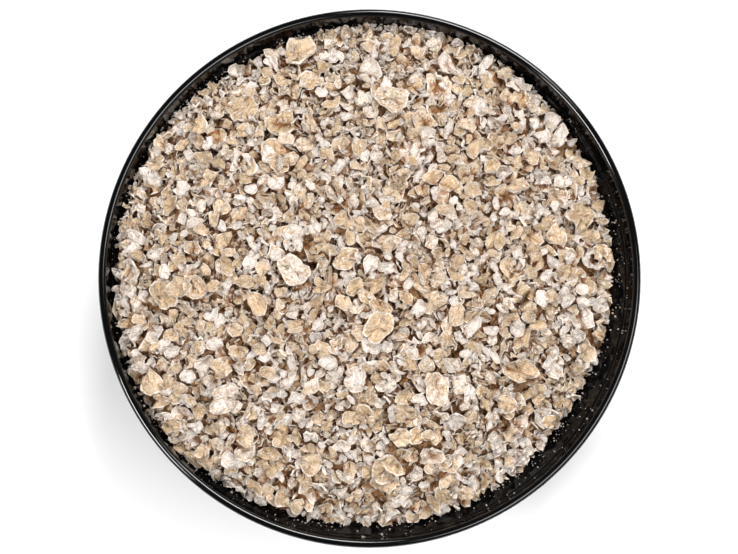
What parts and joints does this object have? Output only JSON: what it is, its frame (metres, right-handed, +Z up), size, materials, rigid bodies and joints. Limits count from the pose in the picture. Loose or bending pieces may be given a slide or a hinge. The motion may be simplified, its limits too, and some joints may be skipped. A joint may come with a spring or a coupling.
{
  "type": "bowl of rolled oats",
  "caption": "Round black glazed bowl on a low foot ring, heaped with dry rolled oat flakes to a low dome just above its rim.",
  "frame": {"origin": "on the table, under the middle of the bowl's foot ring", "axes": "+Z up out of the bowl; +X towards the side where the heap lies lowest; -Y towards the viewer"},
  "size_m": [0.15, 0.15, 0.0578],
  "materials": {
    "black_glaze": "glossy black glaze",
    "oat_flakes": "dry, matt and floury rolled grain"
  },
  "bodies": {
    "root": {"bowl": "black_glaze", "oats": "oat_flakes"}
  },
  "joints": []
}
